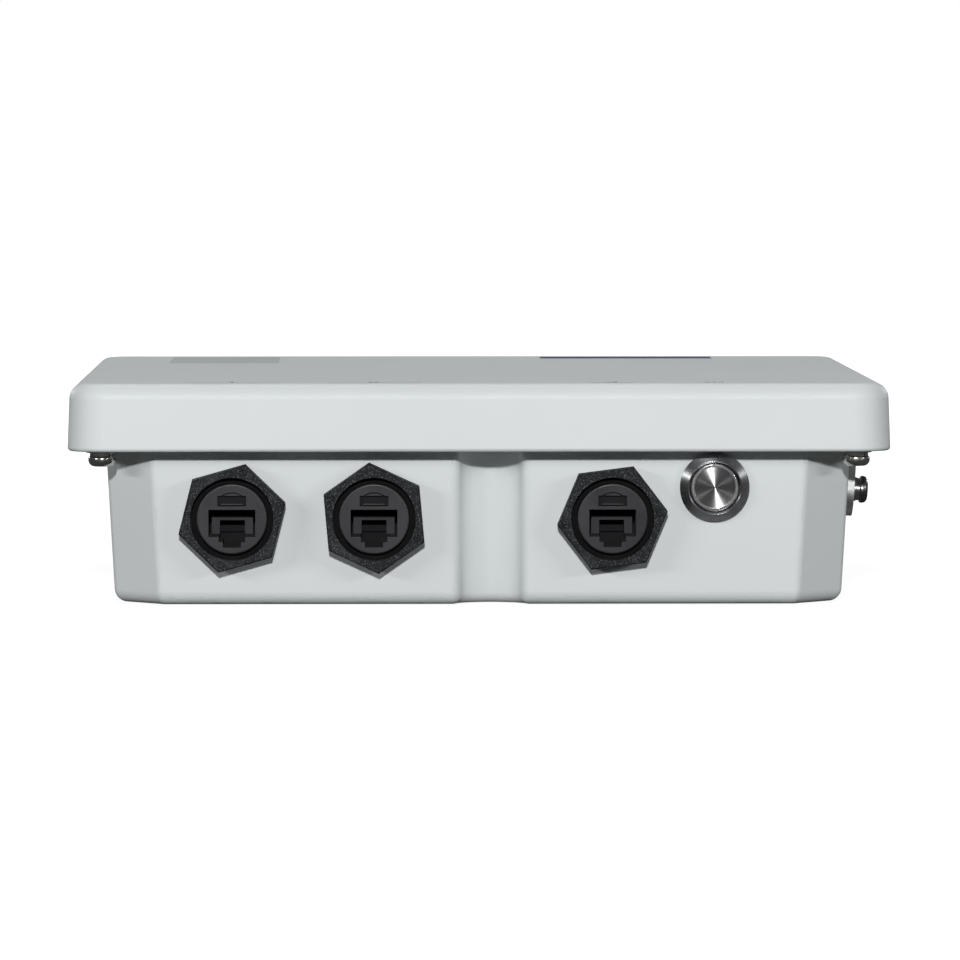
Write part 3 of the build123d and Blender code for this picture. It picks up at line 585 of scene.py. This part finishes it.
NODE_FINISHES: list[tuple[Finish, tuple[str, ...]]] = [
    (ENCLOSURE, ("base_shell", "front_cover")),
    (RUBBER, ("cover_gasket", "port_gaskets", "port_seals", "button_gasket")),
    (STAINLESS, ("cover_screws", "cover_spring_washers", "cover_flat_washers", "earth_washers", "earth_nut",
                 "button_nut", "board_screws")),
    (NYLON, ("port_1_flange", "port_2_flange", "port_3_flange", "port_nuts")),
    (CORE, ("port_1_core", "port_2_core", "port_3_core")),
    (INNER, ("port_inner_blocks",)),
    (GOLD, ("port_contacts",)),
    (BEZEL, ("button_bezel",)),
    (CAP, ("button_cap",)),
    (SPRING, ("button_spring", "coin_cell")),
    (BLACK, ("button_switch_block", "board_jacks", "coin_cell_holder")),
    (TIN, ("button_terminals", "earth_lug", "earth_post", "radio_shield")),
    (JACKET, ("button_wires", "patch_leads")),
    (ZINC, ("earth_bracket",)),
    (DULL_STEEL, ("earth_screw",)),
    (EARTH, ("earth_lead",)),
    (BRASS, ("cover_inserts", "mounting_inserts")),
    (MASK, ("controller_board",)),
    (EPOXY, ("board_chips",)),
    (CAN, ("board_capacitors",)),
    (GREEN, ("board_terminal_block",)),
    (CREAM, ("board_header",)),
    (PLUG, ("patch_plugs",)),
    (DARK_PRINT, ("cover_marks",)),
    (BLUE_PRINT, ("cover_badge",)),
    (PALE_LABEL, ("cover_label",)),
]


def grid_mesh(name: str, points: np.ndarray, wrap_u: bool = False) -> bpy.types.Object:
    """Turn a grid of points into a mesh of quads.

    Face (i, j) joins points (i, j), (i+1, j), (i+1, j+1) and (i, j+1); with wrap_u the last row joins the
    first.

    Args:
        name: Name of the piece.
        points: Array of shape (u, v, 3).
        wrap_u: Whether the first direction closes on itself.

    Returns:
        The new object.
    """
    rows, columns = points.shape[:2]
    u_count = rows if wrap_u else rows - 1
    i, j = np.meshgrid(np.arange(u_count), np.arange(columns - 1), indexing="ij")
    k = (i + 1) % rows
    faces = np.stack([i * columns + j, k * columns + j, k * columns + j + 1, i * columns + j + 1], axis=-1)
    mesh = bpy.data.meshes.new(name)
    mesh.from_pydata(points.reshape(-1, 3).tolist(), [], faces.reshape(-1, 4).tolist())
    mesh.polygons.foreach_set("use_smooth", [True] * len(mesh.polygons))
    made = bpy.data.objects.new(name, mesh)
    bpy.context.scene.collection.objects.link(made)
    return made


def swept_bars(name: str, paths: np.ndarray, across: np.ndarray, thick: np.ndarray) -> bpy.types.Object:
    """Carry a rectangle along many bent paths at once and close both ends.

    Corner k of the section at path point p is p plus or minus half of across, plus or minus half of thick.

    Args:
        name: Name of the piece.
        paths: Array of shape (bars, points, 3).
        across: Vector over the width of each bar, shape (bars, 3).
        thick: Vector over the thickness at each path point, shape (bars, points, 3).

    Returns:
        One object with every bar.
    """
    bars, count = paths.shape[:2]
    signs = np.array([[-0.5, -0.5], [0.5, -0.5], [0.5, 0.5], [-0.5, 0.5]])
    wide = signs[None, None, :, 0, None] * across[:, None, None, :]
    deep = signs[None, None, :, 1, None] * thick[:, :, None, :]
    corners = paths[:, :, None, :] + wide + deep
    base = (np.arange(bars) * count * 4)[:, None, None]
    ring = (np.arange(count - 1) * 4)[None, :, None]
    side = np.arange(4)[None, None, :]
    following = (np.arange(4) + 1)[None, None, :] % 4
    walls = np.stack([base + ring + side, base + ring + following, base + ring + 4 + following,
                      base + ring + 4 + side], axis=-1).reshape(-1, 4)
    first = (np.arange(bars) * count * 4)[:, None] + np.array([3, 2, 1, 0])[None, :]
    last = (np.arange(bars) * count * 4 + (count - 1) * 4)[:, None] + np.arange(4)[None, :]
    faces = np.concatenate([walls, first, last])
    mesh = bpy.data.meshes.new(name)
    mesh.from_pydata(corners.reshape(-1, 3).tolist(), [], faces.tolist())
    made = bpy.data.objects.new(name, mesh)
    bpy.context.scene.collection.objects.link(made)
    mend_normals(made)
    return made


def mend_normals(piece: bpy.types.Object) -> None:
    """Point every face of a closed piece outwards."""
    work = bmesh.new()
    work.from_mesh(piece.data)
    bmesh.ops.remove_doubles(work, verts=work.verts, dist=WELD)
    bmesh.ops.recalc_face_normals(work, faces=work.faces)
    work.to_mesh(piece.data)
    work.free()


def signed_power(value: np.ndarray, power: float) -> np.ndarray:
    """Raise the size of each value to a power and keep its sign."""
    return np.sign(value) * np.abs(value) ** power


def soft_blocks(name: str, centres: np.ndarray, halves: np.ndarray, square: float = 0.25) -> bpy.types.Object:
    """Make many small rounded blocks as superellipsoids.

    A point is centre plus half size times (cos v cos u, cos v sin u, sin v), each sine and cosine raised to
    the power square with its sign kept.

    Args:
        name: Name of the piece.
        centres: Array of shape (blocks, 3).
        halves: Half sizes, shape (blocks, 3).
        square: Power; smaller is squarer.

    Returns:
        One object with every block.
    """
    u = np.linspace(-math.pi, math.pi, BLOCK_AROUND, endpoint=False) + math.pi / BLOCK_AROUND
    v = np.linspace(-math.pi / 2, math.pi / 2, BLOCK_UP)
    cos_v, sin_v = signed_power(np.cos(v), square)[None, :], signed_power(np.sin(v), square)[None, :]
    unit = np.stack([signed_power(np.cos(u), square)[:, None] * cos_v,
                     signed_power(np.sin(u), square)[:, None] * cos_v,
                     np.ones_like(u)[:, None] * sin_v], axis=-1)
    points = centres[:, None, None, :] + halves[:, None, None, :] * unit[None]
    blocks, around, up = points.shape[:3]
    i, j = np.meshgrid(np.arange(around), np.arange(up - 1), indexing="ij")
    k = (i + 1) % around
    one = np.stack([i * up + j, k * up + j, k * up + j + 1, i * up + j + 1], axis=-1).reshape(-1, 4)
    faces = (one[None] + (np.arange(blocks) * around * up)[:, None, None]).reshape(-1, 4)
    mesh = bpy.data.meshes.new(name)
    mesh.from_pydata(points.reshape(-1, 3).tolist(), [], faces.tolist())
    mesh.polygons.foreach_set("use_smooth", [True] * len(mesh.polygons))
    made = bpy.data.objects.new(name, mesh)
    bpy.context.scene.collection.objects.link(made)
    mend_normals(made)
    return made


@dataclass
class ButtonFace:
    """Spun face of the push button: its turning marks throw two bright rays from the middle."""

    paintbox: Paintbox
    radius: float = 5.22 * MM
    lift: float = 0.06 * MM
    ripple: float = 0.004 * MM
    rings: float = 26.0
    around: int = 160
    across: int = 60
    front_radius: float = 5.85 * MM
    drop: float = 1.8 * MM
    start: float = 0.004
    dish: float = 0.35 * MM
    gloss_stretch: float = 0.95
    gloss_turn: float = 0.25
    marks_scale: Point = (1.5, 90.0, 1.0)
    tones: tuple[tuple[float, Colour], ...] = ((0.25, (0.42, 0.42, 0.43)), (0.75, (0.72, 0.72, 0.73)))

    def centre(self) -> Vector:
        """Return the middle of the cap's dished face."""
        low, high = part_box("button_cap")
        back = self.front_radius * math.sin(LEAN) + self.dish * math.cos(LEAN)
        drop = (self.dish + self.drop) * math.sin(LEAN)
        return Vector(((low.x + high.x) / 2, low.y + back, (low.z + high.z) / 2 - drop))

    def build(self) -> bpy.types.Object:
        """Build the face: centre plus radius times (cos, sin), raised by lift plus a fine ring-shaped ripple.

        Returns:
            The finished piece, with turns around as u and the share of the radius as v.
        """
        centre = np.array(self.centre())
        right = np.array([1.0, 0.0, 0.0])
        up = np.array([0.0, -math.sin(LEAN), math.cos(LEAN)])
        out = np.array([0.0, -math.cos(LEAN), -math.sin(LEAN)])
        angle = np.linspace(0, 2 * math.pi, self.around, endpoint=False)[:, None, None]
        share = np.linspace(self.start, 1.0, self.across)[None, :, None]
        height = self.lift + self.ripple * np.sin(2 * math.pi * self.rings * share)
        spread = self.radius * share * (np.cos(angle) * right + np.sin(angle) * up)
        face = grid_mesh("button_face", centre + spread + height * out, wrap_u=True)
        turn = (np.arange(self.around)[:, None, None] + np.array([0, 1, 1, 0])) / self.around
        reach = (np.arange(self.across - 1)[None, :, None] + np.array([0, 0, 1, 1])) / (self.across - 1)
        shape = (self.around, self.across - 1, 4)
        layer = face.data.uv_layers.new(name="turned")
        places = np.stack([np.broadcast_to(turn, shape), np.broadcast_to(reach, shape)], axis=-1)
        layer.data.foreach_set("uv", places.reshape(-1))
        face.data.materials.append(self.dress())
        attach(face, "button_plunger")
        log.info("built %s", face.name)
        return face

    def dress(self) -> bpy.types.Material:
        """Make the turned metal: strong stretch of the gloss along the rings and faint ring tone.

        Returns:
            The material.
        """
        material = self.paintbox.material(CAP).copy()
        material.name = "turned_steel"
        tree = material.node_tree
        shader = tree.nodes["Principled BSDF"]
        shader.inputs["Anisotropic"].default_value = self.gloss_stretch
        shader.inputs["Anisotropic Rotation"].default_value = self.gloss_turn
        tangent = tree.nodes.new("ShaderNodeTangent")
        tangent.direction_type = "UV_MAP"
        tangent.uv_map = "turned"
        tree.links.new(tangent.outputs[0], shader.inputs["Tangent"])
        place = tree.nodes.new("ShaderNodeUVMap")
        place.uv_map = "turned"
        stretch = tree.nodes.new("ShaderNodeMapping")
        stretch.inputs["Scale"].default_value = self.marks_scale
        marks = tree.nodes.new("ShaderNodeTexNoise")
        marks.inputs["Scale"].default_value = 1.0
        tone = tree.nodes.new("ShaderNodeValToRGB")
        for stop, (position, colour) in zip(tone.color_ramp.elements, self.tones):
            stop.position = position
            stop.color = (*colour, 1.0)
        tree.links.new(place.outputs[0], stretch.inputs["Vector"])
        tree.links.new(stretch.outputs[0], marks.inputs["Vector"])
        tree.links.new(marks.outputs[0], tone.inputs[0])
        tree.links.new(tone.outputs[0], shader.inputs["Base Color"])
        return material


@dataclass
class ReturnSpring:
    """Coil behind the button cap, copied at its modelled length."""

    paintbox: Paintbox

    def build(self, modelled: bpy.types.Object) -> bpy.types.Object:
        """Stand a joined copy of the modelled coil in for it.

        Args:
            modelled: The carried-over coil.

        Returns:
            The finished piece.
        """
        coil = bpy.data.objects.new("button_coil", modelled.data.copy())
        bpy.context.scene.collection.objects.link(coil)
        mend_normals(coil)
        coil.data.materials.clear()
        coil.data.materials.append(self.paintbox.material(SPRING))
        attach(coil, "enclosure")
        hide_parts("button_spring")
        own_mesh(coil)
        log.info("built %s", coil.name)
        return coil


@dataclass
class BoardTrim:
    """Fine parts soldered on the controller board: chip legs and rows of chip resistors."""

    paintbox: Paintbox
    chips: tuple[tuple[float, float, float, float], ...] = (
        (0.0, 12.0, 14.0, 14.0), (-26.0, 30.0, 10.0, 8.0), (24.0, 34.0, 8.0, 12.0),
        (0.0, -8.0, 7.0, 7.0), (-48.0, 22.0, 9.0, 6.0), (46.0, 8.0, 9.0, 9.0),
    )
    pitch: float = 0.8 * MM
    leg_width: float = 0.35 * MM
    leg_reach: float = 1.1 * MM
    leg_height: float = 0.6 * MM
    leg_thick: float = 0.15 * MM
    rows: tuple[tuple[float, float, int, int], ...] = (
        (-30.0, 12.0, 8, 0), (-30.0, 16.5, 8, 0), (14.0, 22.0, 7, 0), (34.0, 22.0, 6, 0),
        (-16.5, -14.0, 5, 0), (-40.0, 36.0, 5, 1), (58.0, 4.0, 6, 1), (-14.0, 2.0, 3, 1), (14.0, 0.0, 6, 1),
    )
    row_pitch: float = 2.6
    body_half: Point = (0.62 * MM, 0.42 * MM, 0.26 * MM)
    end_half: Point = (0.2 * MM, 0.45 * MM, 0.28 * MM)
    end_reach: float = 0.72 * MM
    wander: float = 0.04
    seed: int = 7

    def top(self) -> float:
        """Return the height of the board's upper face."""
        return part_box("controller_board")[1].z

    def legs(self) -> bpy.types.Object:
        """Build gull-wing legs: out of the chip, down and out again, on its two long sides.

        Returns:
            One object with every leg.
        """
        profile = np.array([[-0.05, 1.0], [0.30, 1.0], [0.55, 0.12], [1.0, 0.12]])
        paths = []
        for x, y, width, depth in self.chips:
            count = int(width * MM / self.pitch) - 1
            along = (np.arange(count) - (count - 1) / 2) * self.pitch + x * MM
            for side in (-1.0, 1.0):
                edge = y * MM + side * depth * MM / 2
                bars = np.zeros((count, len(profile), 3))
                bars[:, :, 0] = along[:, None]
                bars[:, :, 1] = edge + side * profile[None, :, 0] * self.leg_reach
                bars[:, :, 2] = self.top() + profile[None, :, 1] * self.leg_height
                paths.append(bars)
        every = np.concatenate(paths)
        across = np.tile([self.leg_width, 0.0, 0.0], (len(every), 1))
        thick = np.tile([0.0, 0.0, self.leg_thick], (len(every), len(profile), 1))
        return swept_bars("chip_legs", every, across, thick)

    def halves(self, long: np.ndarray, half: Point) -> np.ndarray:
        """Turn half sizes along, across and up into half sizes in x, y and z.

        Args:
            long: Direction of each block's long side.
            half: Half sizes along the long side, across it and up.

        Returns:
            The half sizes of each block.
        """
        along, across, up = half
        return np.where(long > 0, along, across) * [1, 1, 0] + np.array([0.0, 0.0, up])

    def resistors(self) -> tuple[bpy.types.Object, bpy.types.Object]:
        """Build rows of chip resistors: a dark body between two tinned ends.

        Returns:
            The bodies and the ends.
        """
        spots = []
        turns = []
        for x, y, count, turned in self.rows:
            step = np.arange(count) * self.row_pitch
            across, along = (0, 1) if turned else (1, 0)
            spots.append(np.stack([x + across * step, y + along * step], axis=-1))
            turns += [turned] * count
        place = np.concatenate(spots)
        place += np.random.default_rng(self.seed).normal(0.0, self.wander, place.shape)
        turned = np.array(turns, dtype=float)[:, None]
        long = np.where(turned > 0, [[1.0, 0.0, 0.0]], [[0.0, 1.0, 0.0]])
        centres = np.column_stack([place * MM, np.full(len(place), self.top() + self.end_half[2])])
        bodies = soft_blocks("resistor_bodies", centres, self.halves(long, self.body_half))
        ends = np.concatenate([centres + long * self.end_reach, centres - long * self.end_reach])
        half = self.halves(long, self.end_half)
        return bodies, soft_blocks("resistor_ends", ends, np.concatenate([half, half]))

    def build(self) -> None:
        """Build every fine part and dress it."""
        bodies, ends = self.resistors()
        for piece, finish in ((self.legs(), TIN), (bodies, EPOXY), (ends, TIN)):
            piece.data.materials.append(self.paintbox.material(finish))
            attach(piece, "enclosure")
            log.info("built %s", piece.name)


@dataclass
class Studio:
    """Camera, lamps, floor and sky."""

    lens: float = 251.5
    sensor: float = 36.0
    near: float = 0.05
    far: float = 50.0
    eye: Point = (-0.0289, -1.800, 0.1254)
    aim: Point = (0.0, -0.100, 0.0326)
    middle: Point = (0.0, -0.05, 0.03)
    key_power: float = 38.5
    key_lift: float = math.radians(16.5)
    key_distance: float = 2.4
    key_size: float = 0.10
    key_side: float = -0.08
    top_place: Point = (0.0, 1.0, 1.65)
    top_size: tuple[float, float] = (1.4, 1.4)
    top_power: float = 13.0
    side_size: tuple[float, float] = (0.9, 0.12)
    side_lift: float = math.radians(14.0)
    sides: tuple[tuple[float, float], ...] = ((-52.0, 10.5), (52.0, 8.5), (-140.0, 9.0), (140.0, 9.0))
    sky: float = 0.015
    mirrored_sky: float = 0.12
    floor_half: float = 12.0
    floor_gap: float = 0.3 * MM
    floor_glow: float = 1.17
    floor_share: float = 0.80
    shadow_near: float = 0.16
    shadow_far: float = 0.50
    paper_seen: float = 0.80
    paper_lit: float = 0.10

    def camera(self) -> None:
        """Set the camera at the viewing angle."""
        data = bpy.data.cameras.new("camera")
        data.lens = self.lens
        data.sensor_width = self.sensor
        data.clip_start = self.near
        data.clip_end = self.far
        camera = bpy.data.objects.new("camera", data)
        camera.location = self.eye
        camera.rotation_euler = (Vector(self.aim) - Vector(self.eye)).to_track_quat("-Z", "Y").to_euler()
        bpy.context.scene.collection.objects.link(camera)
        bpy.context.scene.camera = camera

    def lamp(self, name: str, place: Vector, aim: Vector, size: tuple[float, float], power: float) -> None:
        """Add a soft lamp.

        Args:
            name: Name of the lamp.
            place: Where it stands.
            aim: Point that it faces.
            size: Width and height of the lamp.
            power: Power in watts.
        """
        data = bpy.data.lights.new(name, "AREA")
        data.shape = "RECTANGLE"
        data.size, data.size_y = size
        data.energy = power
        lamp = bpy.data.objects.new(name, data)
        lamp.location = place
        lamp.rotation_euler = (aim - place).to_track_quat("-Z", "Y").to_euler()
        bpy.context.scene.collection.objects.link(lamp)

    def lamps(self) -> None:
        """Place the key lamp in front and low, strips round the sides and a soft lamp above and behind."""
        middle = Vector(self.middle)
        reach = self.key_distance
        front, above = reach * math.cos(self.key_lift), reach * math.sin(self.key_lift)
        key = middle + Vector((self.key_side, -front, above))
        self.lamp("key", key, middle, (self.key_size, self.key_size), self.key_power)
        flat, above = reach * math.cos(self.side_lift), reach * math.sin(self.side_lift)
        for turn, power in self.sides:
            angle = math.radians(turn)
            place = Vector((flat * math.sin(angle), -flat * math.cos(angle), above))
            self.lamp("side", middle + place, middle, self.side_size, power)
        self.lamp("top", middle + Vector(self.top_place), middle, self.top_size, self.top_power)

    def world(self) -> None:
        """Give the sky a plain grey light that the camera and glass see as white and mirrors see as a paler
        grey.
        """
        world = bpy.data.worlds.new("sky")
        bpy.context.scene.world = world
        world.use_nodes = True
        tree = world.node_tree
        ground = tree.nodes["Background"]
        path = tree.nodes.new("ShaderNodeLightPath")
        seen = tree.nodes.new("ShaderNodeMath")
        seen.operation = "MAXIMUM"
        tree.links.new(path.outputs["Is Camera Ray"], seen.inputs[0])
        tree.links.new(path.outputs["Is Transmission Ray"], seen.inputs[1])
        steps = [(path.outputs["Is Glossy Ray"], self.mirrored_sky), (seen.outputs[0], 1.0)]
        level: bpy.types.NodeSocket | None = None
        for switch, strength in steps:
            blend = tree.nodes.new("ShaderNodeMapRange")
            blend.inputs["To Min"].default_value = self.sky
            blend.inputs["To Max"].default_value = strength
            tree.links.new(switch, blend.inputs["Value"])
            if level is not None:
                tree.links.new(level, blend.inputs["To Min"])
            level = blend.outputs[0]
        tree.links.new(level, ground.inputs["Strength"])
        ground.inputs["Color"].default_value = (1.0, 1.0, 1.0, 1.0)

    def floor(self) -> None:
        """Lay a pale floor that shows nearly white and keeps the soft shadow."""
        half, low = self.floor_half, -self.floor_gap
        corners = np.array([[[x, y, low] for y in (-half, half)] for x in (-half, half)])
        floor = grid_mesh("floor", corners)
        material = bpy.data.materials.new("floor_paper")
        material.use_nodes = True
        tree = material.node_tree
        tree.nodes.clear()
        out = tree.nodes.new("ShaderNodeOutputMaterial")
        mix = tree.nodes.new("ShaderNodeMixShader")
        paper = tree.nodes.new("ShaderNodeBsdfDiffuse")
        glow = tree.nodes.new("ShaderNodeEmission")
        glow.inputs["Strength"].default_value = self.floor_glow
        path = tree.nodes.new("ShaderNodeLightPath")
        tone = tree.nodes.new("ShaderNodeMapRange")
        tone.inputs["To Min"].default_value = self.paper_lit
        tone.inputs["To Max"].default_value = self.paper_seen
        tree.links.new(path.outputs["Is Camera Ray"], tone.inputs["Value"])
        tree.links.new(tone.outputs[0], paper.inputs["Color"])
        spot = tree.nodes.new("ShaderNodeNewGeometry")
        away = tree.nodes.new("ShaderNodeVectorMath")
        away.operation = "LENGTH"
        tree.links.new(spot.outputs["Position"], away.inputs[0])
        fade = tree.nodes.new("ShaderNodeMapRange")
        fade.inputs["From Min"].default_value = self.shadow_near
        fade.inputs["From Max"].default_value = self.shadow_far
        fade.inputs["To Min"].default_value = self.floor_share
        fade.inputs["To Max"].default_value = 1.0
        tree.links.new(away.outputs["Value"], fade.inputs["Value"])
        share = tree.nodes.new("ShaderNodeMath")
        share.operation = "MULTIPLY"
        tree.links.new(fade.outputs[0], share.inputs[1])
        tree.links.new(path.outputs["Is Camera Ray"], share.inputs[0])
        tree.links.new(share.outputs[0], mix.inputs[0])
        tree.links.new(paper.outputs[0], mix.inputs[1])
        tree.links.new(glow.outputs[0], mix.inputs[2])
        tree.links.new(mix.outputs[0], out.inputs[0])
        floor.data.materials.append(material)

    def build(self) -> None:
        """Set up everything round the object."""
        bpy.context.scene.view_settings.view_transform = "Standard"
        self.camera()
        self.lamps()
        self.world()
        self.floor()
        log.info("studio ready")


def main() -> None:
    """Dress the frame, add the fine pieces and set the studio."""
    logging.basicConfig(level=logging.INFO, format="%(name)s: %(message)s")
    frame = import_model()
    paintbox = Paintbox()
    for finish, names in NODE_FINISHES:
        paintbox.dress(frame["nodes"], names, finish)
    ButtonFace(paintbox).build()
    ReturnSpring(paintbox).build(frame["nodes"]["button_spring"])
    BoardTrim(paintbox).build()
    Studio().build()


if __name__ == "__main__":
    main()
